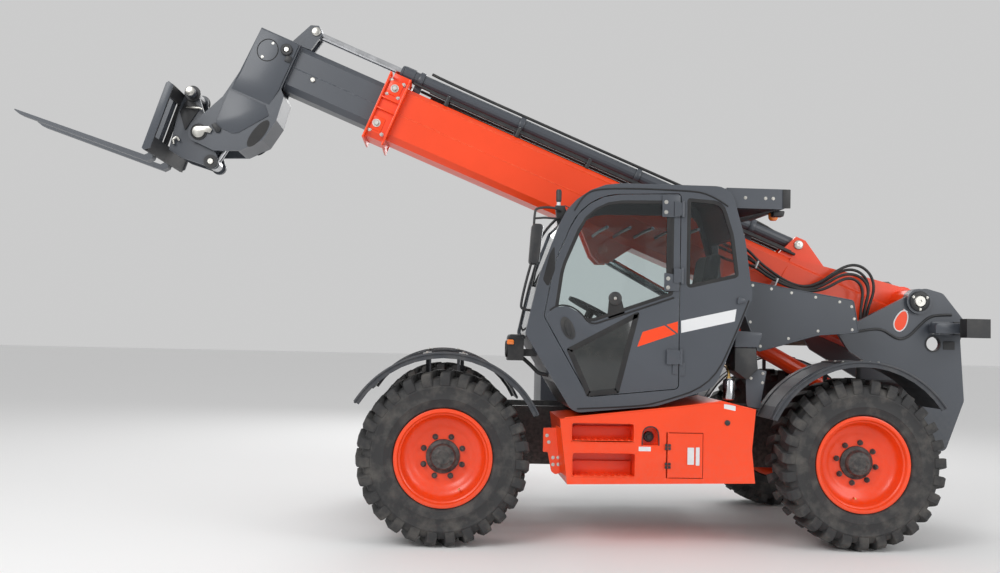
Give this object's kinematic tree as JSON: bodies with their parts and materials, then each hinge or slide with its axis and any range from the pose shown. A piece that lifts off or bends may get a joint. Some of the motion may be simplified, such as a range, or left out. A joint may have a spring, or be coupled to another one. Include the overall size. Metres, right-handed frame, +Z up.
{
  "type": "telehandler",
  "caption": "Four-wheel-steer telescopic handler with a two-stage lifting boom, tilting fork carriage, side cab with a hinged door, engine pod and steered fenders.",
  "frame": {"origin": "middle of the bounding box's foot, on the ground between the axles", "axes": "+Z up, -X the way the machine drives and the forks point, -Y the cab side"},
  "size_m": [7.2424, 2.28, 3.7907],
  "materials": {
    "bare_steel": "plated rod and pins",
    "black_paint": "satin black paint",
    "black_plastic": "grained black plastic",
    "exhaust_steel": "heat-tinted brown-grey steel",
    "lamp_lens": "clear and amber lamp lens in a black body",
    "orange_paint": "gloss orange-red paint",
    "seat_cloth": "dark woven seat cloth",
    "slate_paint": "satin dark blue-grey paint",
    "tinted_glass": "lightly tinted clear glass",
    "tyre_rubber": "worn black tread rubber"
  },
  "bodies": {
    "chassis": {"axle_front": "slate_paint", "axle_rear": "slate_paint", "cab_floor": "black_paint", "cab_front": "slate_paint", "cab_rear": "slate_paint", "cab_roof": "slate_paint", "cab_side_left": "slate_paint", "cab_side_right": "slate_paint", "engine_block": "black_paint", "engine_tray": "slate_paint", "exhaust_pipe": "exhaust_steel", "front_lamp": "lamp_lens", "main_frame": "black_paint", "mirror": "black_plastic", "quarter_glass": "tinted_glass", "rear_cover_left": "slate_paint", "rear_glass": "tinted_glass", "right_glass": "tinted_glass", "roof_box": "slate_paint", "seat_back": "seat_cloth", "seat_cushion": "seat_cloth", "steering_column": "black_plastic", "step_box": "orange_paint", "tail_lamp_bar": "black_plastic", "tower_left": "slate_paint", "tower_right": "slate_paint", "windscreen": "tinted_glass"},
    "inner_boom_body": {"boom_head": "slate_paint", "extension_rod": "bare_steel", "inner_boom": "slate_paint"},
    "door": {"door_frame": "slate_paint", "door_window": "tinted_glass"},
    "hood": {"engine_hood": "slate_paint"},
    "boom": {"extension_barrel": "slate_paint", "outer_boom": "orange_paint"},
    "knuckle_body_front_left": {"fender_front_left": "black_plastic", "knuckle_front_left": "slate_paint"},
    "knuckle_body_front_right": {"fender_front_right": "black_plastic", "knuckle_front_right": "slate_paint"},
    "knuckle_body_rear_left": {"fender_rear_left": "black_plastic", "knuckle_rear_left": "slate_paint"},
    "knuckle_body_rear_right": {"fender_rear_right": "black_plastic", "knuckle_rear_right": "slate_paint"},
    "carriage": {"fork_carriage": "black_paint", "fork_left": "slate_paint", "fork_right": "slate_paint", "hitch_frame": "slate_paint"},
    "lift_barrel_body": {"lift_barrel": "orange_paint"},
    "lift_rod_body": {"lift_rod": "bare_steel"},
    "wheel_front_left": {"rim_front_left": "orange_paint", "tyre_front_left": "tyre_rubber"},
    "wheel_front_right": {"rim_front_right": "orange_paint", "tyre_front_right": "tyre_rubber"},
    "wheel_rear_left": {"rim_rear_left": "orange_paint", "tyre_rear_left": "tyre_rubber"},
    "wheel_rear_right": {"rim_rear_right": "orange_paint", "tyre_rear_right": "tyre_rubber"},
    "hatch": {"service_hatch": "orange_paint"},
    "tilt_barrel_body": {"tilt_barrel": "slate_paint"},
    "tilt_rod_body": {"tilt_rod": "bare_steel"}
  },
  "joints": [
    {"name": "steer_front_left", "type": "hinge", "parent": "chassis", "child": "knuckle_body_front_left", "pos_m": [-0.37881, -0.72, 0.58629], "axis": [0, 0, 1], "range_deg": [-33, 33]},
    {"name": "spin_front_left", "type": "hinge", "parent": "knuckle_body_front_left", "child": "wheel_front_left", "pos_m": [-0.37881, -0.935, 0.58629], "axis": [0, 1, 0], "continuous": true},
    {"name": "steer_front_right", "type": "hinge", "parent": "chassis", "child": "knuckle_body_front_right", "pos_m": [-0.37881, 0.72, 0.58629], "axis": [0, 0, 1], "range_deg": [-33, 33]},
    {"name": "spin_front_right", "type": "hinge", "parent": "knuckle_body_front_right", "child": "wheel_front_right", "pos_m": [-0.37881, 0.935, 0.58629], "axis": [0, 1, 0], "continuous": true},
    {"name": "steer_rear_left", "type": "hinge", "parent": "chassis", "child": "knuckle_body_rear_left", "pos_m": [2.50119, -0.72, 0.58629], "axis": [0, 0, 1], "range_deg": [-33, 33]},
    {"name": "spin_rear_left", "type": "hinge", "parent": "knuckle_body_rear_left", "child": "wheel_rear_left", "pos_m": [2.50119, -0.935, 0.58629], "axis": [0, 1, 0], "continuous": true},
    {"name": "steer_rear_right", "type": "hinge", "parent": "chassis", "child": "knuckle_body_rear_right", "pos_m": [2.50119, 0.72, 0.58629], "axis": [0, 0, 1], "range_deg": [-33, 33]},
    {"name": "spin_rear_right", "type": "hinge", "parent": "knuckle_body_rear_right", "child": "wheel_rear_right", "pos_m": [2.50119, 0.935, 0.58629], "axis": [0, 1, 0], "continuous": true},
    {"name": "boom_lift", "type": "hinge", "parent": "chassis", "child": "boom", "pos_m": [3.20119, 0, 1.74629], "axis": [0, 1, 0], "range_deg": [-26, 38]},
    {"name": "boom_extend", "type": "slide", "parent": "boom", "child": "inner_boom_body", "axis": [-0.9262, 0, 0.377], "range_m": [-0.5, 2]},
    {"name": "carriage_tilt", "type": "hinge", "parent": "inner_boom_body", "child": "carriage", "pos_m": [-2.28305, 0, 2.90666], "axis": [0, 1, 0], "range_deg": [-100, 20]},
    {"name": "lift_barrel_swing", "type": "hinge", "parent": "chassis", "child": "lift_barrel_body", "pos_m": [2.95119, 0, 0.91629], "axis": [0, 1, 0], "range_deg": [-23.9, 34.7]},
    {"name": "lift_rod_slide", "type": "slide", "parent": "lift_barrel_body", "child": "lift_rod_body", "axis": [-0.8806, 0, 0.4738], "range_m": [-0.4179, 0.6085]},
    {"name": "tilt_barrel_swing", "type": "hinge", "parent": "inner_boom_body", "child": "tilt_barrel_body", "pos_m": [-1.66148, 0, 3.55301], "axis": [0, 1, 0], "range_deg": [-0.7, 1.5]},
    {"name": "tilt_rod_slide", "type": "slide", "parent": "tilt_barrel_body", "child": "tilt_rod_body", "axis": [-0.5237, 0, -0.8519], "range_m": [-0.3541, 0.0748]},
    {"name": "cab_door", "type": "hinge", "parent": "chassis", "child": "door", "pos_m": [1.23419, -1.062, -0.00371], "axis": [0, 0, 1], "range_deg": [0, 110]},
    {"name": "hatch_door", "type": "hinge", "parent": "chassis", "child": "hatch", "pos_m": [1.14519, -1.099, -0.00371], "axis": [0, 0, -1], "range_deg": [0, 100]},
    {"name": "hood_lift", "type": "hinge", "parent": "chassis", "child": "hood", "pos_m": [-0.37881, 0.452, 1.44029], "axis": [1, 0, 0], "range_deg": [0, 60]}
  ],
  "couplings": [
    {"joint": "steer_front_right", "follows": "steer_front_left", "ratio": 1},
    {"joint": "steer_rear_right", "follows": "steer_rear_left", "ratio": 1},
    {"joint": "lift_barrel_swing", "follows": "boom_lift", "ratio": 0.9},
    {"joint": "lift_rod_slide", "follows": "boom_lift", "m_per_rad": 0.91},
    {"joint": "tilt_barrel_swing", "follows": "carriage_tilt", "ratio": -0.01},
    {"joint": "tilt_rod_slide", "follows": "carriage_tilt", "m_per_rad": 0.2}
  ]
}
